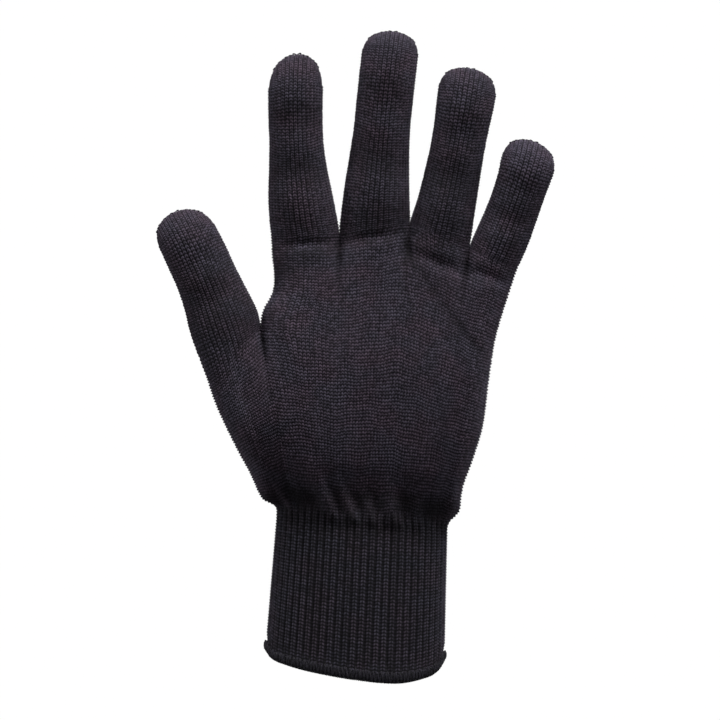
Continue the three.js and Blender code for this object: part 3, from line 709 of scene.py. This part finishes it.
def knit_cuff():
    """The 1x1 rib: columns of V stitches that stand out, with sunken columns between them. At the top
    the ribs run out under the hand's knit."""
    facets = len(RIB_SECTION) - 1
    step, vv = np.meshgrid(np.arange(RIBS * facets + 1), np.arange(0, (RIB_COURSES + RIB_RUN) * 2 + 1) / 2)
    place, height, leg = (column(RIB_SECTION, name)[step % facets] for name in RIB_SECTION[0])
    over = smooth((vv - RIB_COURSES) / RIB_RUN)
    climb = RIB_V * np.maximum(1 - np.abs(place - 0.5) * 2.5, 0) * np.clip(vv, 0, 1) * (1 - over)
    course = vv + climb
    turn = np.interp((step // facets + place) / RIBS, GIRTH, RING)
    clear = smooth(course / RIB_COURSES * CUFF_HEIGHT / RIB_START - 0.6)
    crest = 0.5 + 0.5 * np.cos(2 * math.pi * vv)
    relief = RIB_RELIEF * height * clear * (1 - 0.7 * over)
    relief += 0.42 * leg * (crest - 0.6) * (1 - over) - RIB_SINK * over
    places = np.empty((*step.shape, 3))
    low = course <= RIB_COURSES
    places[low] = cuff_point(turn[low], course[low] / RIB_COURSES, np.zeros(low.sum()))
    places[~low] = hand_surface(turn[~low], course[~low] - RIB_COURSES)
    places[:, -1] = places[:, 0]
    # Painted shade on the cuff's upper courses, under the gathers
    shade = 1 - CUFF_SHADE * smooth((vv - RIB_COURSES) / CUFF_SHADE_RUN + 1)
    tones = np.stack([np.full(step.shape, RIB_GROOVE), shade], -1)
    labels = np.where(vv[:, 0] < RIB_COURSES, "cuff", "run_out")
    fabric = Fabric()
    fabric.add(places, np.stack([step / facets, vv], -1), tones, relief, labels, 1)
    fabric.join()
    return fabric


def tubes(name, paths, radius, sides=5):
    """Threads: round tubes along paths, each an array of points, as one object."""
    places, faces, threads, size = [], [], [], 0
    for number, path in enumerate(paths):
        tangent = np.gradient(path, axis=0)
        tangent /= np.linalg.norm(tangent, axis=1)[:, None]
        side = np.cross(tangent, spot(0.31, 0.52, 0.79))
        side /= np.linalg.norm(side, axis=1)[:, None]
        other = np.cross(tangent, side)
        angle = np.arange(sides) / sides * 2 * math.pi
        ring = side[:, None] * np.cos(angle)[:, None] + other[:, None] * np.sin(angle)[:, None]
        places.append((path[:, None] + ring * radius).reshape(-1, 3))
        n = len(path)
        index = size + np.arange(n * sides).reshape(n, sides)
        after = np.roll(index, -1, axis=1)
        faces.append(np.stack([index[:-1], after[:-1], after[1:], index[1:]], -1).reshape(-1, 4))
        for end, order in ((index[0], 1), (index[-1], -1)):
            faces.append(np.array([[end[0], end[1], end[2], end[3]][::-order], [end[0], end[3], end[4], end[0]][::-order]]))
        size += n * sides
    places = np.concatenate(places)
    faces = [tuple(dict.fromkeys(f)) for f in np.concatenate(faces).tolist()]
    mesh = bpy.data.meshes.new(name)
    mesh.from_pydata((places * MM).tolist(), [], faces)
    mesh.validate()
    mesh.shade_smooth()
    made = bpy.data.objects.new(name, mesh)
    bpy.context.collection.objects.link(made)
    return made


def hem_threads():
    """Overlock: slanted loops that go round the raw edge, and a chain along the inner face."""
    stitches = 290
    chance = np.random.default_rng(SEED)
    paths = []
    for k in range(stitches):
        section = [(0.75, 2.9 + chance.uniform(-0.6, 0.5)), (1.0, 1.9), (1.0, 0.6), (0.75, -0.45), (0.1, -0.95),
                   (-0.9, -1.0), (-1.9, -0.6), (-2.3, 0.5), (-2.35, 2.0), (-2.0, 2.8)]
        out, level = np.array(section).T
        out = out + chance.uniform(-0.12, 0.12, len(section))
        slant = np.linspace(-1, 1, len(section)) * chance.uniform(0.5, 2.2) * (1 if k % 2 else -1)
        turn = (k + slant) / stitches * 2 * math.pi
        paths.append(cuff_point(turn, level / CUFF_HEIGHT, out))
    for out, level in ((-2.4, 2.6),):
        n = stitches * 6
        k = np.arange(n + 1)
        wave = np.sin(k / 6 * 2 * math.pi)
        turn = (k % n) / n * 2 * math.pi
        paths.append(cuff_point(turn, (level + 0.22 * wave) / CUFF_HEIGHT, np.full(n + 1, out)))
    return tubes("cuff_hem_threads", paths, 0.27)


def hem_band():
    """The edge of the fabric inside the overlock."""
    section = [(0.55, 2.3), (0.65, 0.4), (0.3, -0.6), (-0.8, -0.8), (-1.8, -0.6), (-2.1, 0.4), (-2.0, 2.3)]
    n = 232
    turn = np.arange(n + 1) % n / n * 2 * math.pi
    fabric = Fabric()
    rows = [cuff_point(turn, np.full(n + 1, level / CUFF_HEIGHT), np.full(n + 1, out)) for out, level in section]
    places = np.array(rows)
    stitches = np.stack(np.meshgrid(np.arange(n + 1) / 2, np.arange(len(section))), -1)
    fabric.add(places, stitches, np.ones(stitches.shape), np.zeros(places.shape[:2]), ["hem"] * len(section), -1)
    fabric.join()
    return fabric.mesh("cuff_hem_band", "hem")


def tip_loops(index):
    """The small loops that stand along the seam of a closed tip."""
    digit = DIGITS[index]
    body, tip = digit_courses(digit)
    foot = THUMB_COURSES if index == 0 else PALM_COURSES
    v = np.full(1, foot + body + tip, float)
    paths = []
    count = 14
    for k in range(count):
        w = -0.62 + 1.24 * (k + 0.5) / count
        half = 0.036
        left, middle, right = (strip_surface(index, np.array([w + d]), -1, v)[0] for d in (-half, 0, half))
        lean = math.radians(digit["lean"])
        centre = digit_centre(digit, (guide(index, np.array([THUMB_SHARE if index == 0 else 1.0]))
                                      + guide(index + 1, np.array([THUMB_SHARE if index == 0 else 1.0]))) / 2,
                              np.array([1 - digit["cap"] / digit["length"]]))[0]
        outward = middle - centre
        outward /= np.linalg.norm(outward)
        turn = np.linspace(0, math.pi, 9)
        reach = 1.05 + 0.2 * math.sin(k * 3.7)
        arc = middle + (right - left) * 0.5 * (-np.cos(turn))[:, None] + outward * (np.sin(turn) * reach - 0.25)[:, None]
        paths.append(arc)
    return tubes(digit["name"] + "_loops", paths, 0.26)


# Materials

def node(tree, kind, **values):
    made = tree.nodes.new(kind)
    for name, value in values.items():
        setattr(made, name, value)
    return made


def maths(tree, operation, *inputs):
    made = node(tree, "ShaderNodeMath", operation=operation)
    for i, value in enumerate(inputs):
        if isinstance(value, (int, float)):
            made.inputs[i].default_value = value
        else:
            tree.links.new(value, made.inputs[i])
    return made.outputs[0]


def noise(tree, vector, scale, detail=2.0):
    made = node(tree, "ShaderNodeTexNoise")
    made.inputs["Scale"].default_value = scale
    made.inputs["Detail"].default_value = detail
    tree.links.new(vector, made.inputs["Vector"])
    return made.outputs["Fac"]


def blend(tree, factor, first, second, mode="MIX"):
    made = node(tree, "ShaderNodeMix", data_type="RGBA", blend_type=mode)
    for socket, value in ((made.inputs[0], factor), (made.inputs[6], first), (made.inputs[7], second)):
        if isinstance(value, (int, float)):
            socket.default_value = value
        elif isinstance(value, tuple):
            socket.default_value = (*value, 1)
        else:
            tree.links.new(value, socket)
    return made.outputs[2]


def yarn_material(name, pit_shade, crest, legs, first_leg, split, streak):
    """Knitted yarn. The stitch coordinates give each stitch a painted shade in its pit and its own random brightness;
    split is the painted brightness between its two legs, streak how much the wales differ."""
    material = bpy.data.materials.new(name)
    material.use_nodes = True
    tree = material.node_tree
    shader = tree.nodes["Principled BSDF"]
    uv = node(tree, "ShaderNodeUVMap", uv_map="stitches").outputs["UV"]
    places = node(tree, "ShaderNodeTexCoord").outputs["Object"]
    parts = node(tree, "ShaderNodeSeparateXYZ")
    tree.links.new(uv, parts.inputs[0])
    u, v = parts.outputs[0], parts.outputs[1]
    # Painted shade: each stitch is painted darker between its two legs, in the grooves between the wales and between
    # the courses
    leg_place = maths(tree, "MULTIPLY_ADD", u, legs, 0.5 - first_leg * legs)
    leg = maths(tree, "ABSOLUTE", maths(tree, "SINE", maths(tree, "MULTIPLY", leg_place, math.pi)))
    leg = maths(tree, "MULTIPLY_ADD", leg, 1 - split, split)
    tone = node(tree, "ShaderNodeSeparateXYZ")
    tree.links.new(node(tree, "ShaderNodeUVMap", uv_map="tone").outputs["UV"], tone.inputs[0])
    wale = maths(tree, "POWER", maths(tree, "ABSOLUTE", maths(tree, "SINE", maths(tree, "MULTIPLY", u, math.pi))), 0.5)
    groove = maths(tree, "MULTIPLY_ADD", tone.outputs[0], maths(tree, "SUBTRACT", wale, 1.0), 1.0)
    wave = maths(tree, "COSINE", maths(tree, "MULTIPLY", v, 2 * math.pi))
    ridge = maths(tree, "MULTIPLY_ADD", wave, 0.44, 0.56)
    height = maths(tree, "MULTIPLY", maths(tree, "MULTIPLY", leg, groove), ridge)
    cell = node(tree, "ShaderNodeCombineXYZ")
    tree.links.new(maths(tree, "FLOOR", leg_place), cell.inputs[0])
    tree.links.new(maths(tree, "ROUND", v), cell.inputs[1])
    own = node(tree, "ShaderNodeTexWhiteNoise", noise_dimensions="2D")
    tree.links.new(cell.outputs[0], own.inputs["Vector"])
    fibre = noise(tree, places, 5200.0, 3.0)
    lit = maths(tree, "MULTIPLY", height, maths(tree, "MULTIPLY_ADD", own.outputs["Value"], 0.8, 0.6))
    lit = maths(tree, "MULTIPLY", lit, maths(tree, "MULTIPLY_ADD", fibre, 0.6, 0.7))
    wales = node(tree, "ShaderNodeTexWhiteNoise", noise_dimensions="1D")
    tree.links.new(maths(tree, "FLOOR", u), wales.inputs["W"])
    lit = maths(tree, "MULTIPLY", lit, maths(tree, "MULTIPLY_ADD", wales.outputs["Value"], streak, 1 - streak / 2))
    # Painted light and shade of the folds, crotches, creases, knuckles and tips
    lit = maths(tree, "MULTIPLY", maths(tree, "POWER", lit, 1.2), tone.outputs[1])
    # Painted shade in the pits: the lower the height, the nearer the colour goes to the dark pit colour
    colour = blend(tree, lit, pit_shade, crest)
    patches = noise(tree, places, 95.0, 3.0)
    patchy = maths(tree, "MULTIPLY", maths(tree, "SUBTRACT", patches, 0.38), 4.0)
    patchy.node.use_clamp = True
    cool = blend(tree, 1.0, colour, COOL, "MULTIPLY")
    warm = blend(tree, 1.0, colour, WARM, "MULTIPLY")
    colour = blend(tree, patchy, cool, warm)
    tree.links.new(colour, shader.inputs["Base Color"])
    shader.inputs["Roughness"].default_value = 0.88
    shader.inputs["Specular IOR Level"].default_value = 0.25
    shader.inputs["Sheen Weight"].default_value = 0.12
    shader.inputs["Sheen Roughness"].default_value = 0.45
    shader.inputs["Sheen Tint"].default_value = (0.75, 0.68, 0.85, 1)
    twist = maths(tree, "SINE", maths(tree, "MULTIPLY", maths(tree, "ADD", u, v), 6 * math.pi))
    bumps = maths(tree, "ADD", maths(tree, "MULTIPLY", height, 0.8), maths(tree, "MULTIPLY", twist, 0.12))
    bumps = maths(tree, "ADD", bumps, maths(tree, "MULTIPLY", fibre, 0.35))
    bump = node(tree, "ShaderNodeBump")
    bump.inputs["Strength"].default_value = 0.7
    bump.inputs["Distance"].default_value = 0.00022
    tree.links.new(bumps, bump.inputs["Height"])
    tree.links.new(bump.outputs[0], shader.inputs["Normal"])
    return material


def thread_material(name, shade, light):
    material = bpy.data.materials.new(name)
    material.use_nodes = True
    tree = material.node_tree
    shader = tree.nodes["Principled BSDF"]
    places = node(tree, "ShaderNodeTexCoord").outputs["Object"]
    flecks = maths(tree, "MULTIPLY_ADD", noise(tree, places, 1900.0, 3.0), 3.2, -1.25)
    flecks.node.use_clamp = True
    colour = blend(tree, flecks, shade, light)
    tree.links.new(colour, shader.inputs["Base Color"])
    shader.inputs["Roughness"].default_value = 0.85
    shader.inputs["Specular IOR Level"].default_value = 0.25
    shader.inputs["Sheen Weight"].default_value = 0.12
    shader.inputs["Sheen Roughness"].default_value = 0.45
    bump = node(tree, "ShaderNodeBump")
    bump.inputs["Strength"].default_value = 0.6
    bump.inputs["Distance"].default_value = 0.0001
    tree.links.new(noise(tree, places, 5000.0, 2.0), bump.inputs["Height"])
    tree.links.new(bump.outputs[0], shader.inputs["Normal"])
    return material


WARM = (1.09, 0.95, 0.98)
COOL = (0.94, 0.99, 1.02)
# The first colour is the painted shade in the stitches' pits, the second the yarn's colour on their crests
jersey = yarn_material("jersey_knit", (0.0010, 0.0009, 0.0012), (0.112, 0.093, 0.129), 2, 0.25, 0.4, 0.12)
rib = yarn_material("rib_knit", (0.0010, 0.0009, 0.0012), (0.068, 0.061, 0.084), 3, 1 / 3, 0.1, 0.3)
overlock = thread_material("overlock_thread", (0.0012, 0.0010, 0.0020), (0.034, 0.030, 0.046))

# The pieces

def dress(piece, slot, material, *nodes):
    piece.data.materials.clear()
    piece.data.materials.append(material)
    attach(piece, "root")
    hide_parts(*nodes)


knit, lining = knit_hand()


def walled(piece_name, label):
    return joined(piece_name, [knit.mesh(piece_name, label), lining.mesh(piece_name + "_lining", label, KNIT_WALL)])


dress(walled("palm_side", "hand"), "jersey_knit", jersey, "hand")
dress(walled("back_of_hand", "hand_back"), "jersey_knit", jersey, "hand")
for index, digit in enumerate(DIGITS):
    name = digit["name"]
    dress(walled(name + "_knit", name), "jersey_knit", jersey, name)
    dress(tip_loops(index), "overlock_thread", overlock, name)

cuff = knit_cuff()
cuff_sides = [cuff.mesh("cuff_knit", "cuff"), cuff.mesh("cuff_top", "run_out"), cuff.mesh("cuff_inside", "cuff", RIB_WALL)]
dress(joined("cuff_knit", cuff_sides), "rib_knit", rib, "ribbed_cuff")
dress(hem_band(), "overlock_thread", overlock, "cuff_hem")
dress(hem_threads(), "overlock_thread", overlock, "cuff_hem")

# Stage, light and camera

def stage_material(name, colour, glow):
    material = bpy.data.materials.new(name)
    material.use_nodes = True
    shader = material.node_tree.nodes["Principled BSDF"]
    shader.inputs["Base Color"].default_value = (*colour, 1)
    shader.inputs["Roughness"].default_value = 0.9
    shader.inputs["Emission Color"].default_value = (1, 1, 1, 1)
    shader.inputs["Emission Strength"].default_value = glow
    return material


bpy.ops.mesh.primitive_circle_add(vertices=64, radius=3, fill_type="NGON", location=(0, 0, -0.35))
floor = bpy.context.object
floor.name = "floor"
floor.data.materials.append(stage_material("pale_floor", (0.82, 0.82, 0.82), 0.0))
bpy.ops.mesh.primitive_uv_sphere_add(segments=48, ring_count=24, radius=9)
backdrop = bpy.context.object
backdrop.name = "backdrop"
backdrop.data.materials.append(stage_material("white_backdrop", (0, 0, 0), 1.0))
for ray in ("diffuse", "glossy", "transmission", "volume_scatter", "shadow"):
    setattr(backdrop, "visible_" + ray, False)
    setattr(floor, "visible_" + ray, False)

world = bpy.data.worlds.new("studio")
bpy.context.scene.world = world
world.use_nodes = True
world.node_tree.nodes["Background"].inputs["Color"].default_value = (1, 1, 1, 1)
world.node_tree.nodes["Background"].inputs["Strength"].default_value = 0.14


def softbox(name, place, size, watts):
    light = bpy.data.lights.new(name, "AREA")
    light.shape = "SQUARE"
    light.size = size
    light.energy = watts
    made = bpy.data.objects.new(name, light)
    made.location = place
    made.rotation_euler = (Vector((0, 0, 0.11)) - Vector(place)).to_track_quat("-Z", "Y").to_euler()
    bpy.context.collection.objects.link(made)


softbox("top_light", (0.30, -0.75, 1.75), 0.8, 31)
softbox("low_light", (0.1, -1.6, -0.3), 0.8, 1.8)
softbox("right_light", (1.8, -0.6, 0.8), 0.8, 7)
softbox("left_light", (-1.7, -0.6, 1.0), 0.8, 10)
softbox("back_light", (0.5, 1.6, 1.1), 0.8, 14)

PHOTO_WIDTH = 273.6      # width of the picture at the glove
AIM = (1.9, 0, 117)
DISTANCE = 2500.0
TILT = math.radians(0)
camera = bpy.data.cameras.new("camera")
camera.sensor_width = 36
camera.lens = 36 * DISTANCE / PHOTO_WIDTH
camera.clip_start, camera.clip_end = 0.05, 30
eye = bpy.data.objects.new("camera", camera)
aim = Vector(AIM) * MM
eye.location = aim + Vector((0, -math.cos(TILT), math.sin(TILT))) * DISTANCE * MM
eye.rotation_euler = (aim - eye.location).to_track_quat("-Z", "Y").to_euler()
bpy.context.collection.objects.link(eye)
bpy.context.scene.camera = eye
bpy.context.scene.view_settings.view_transform = "Standard"
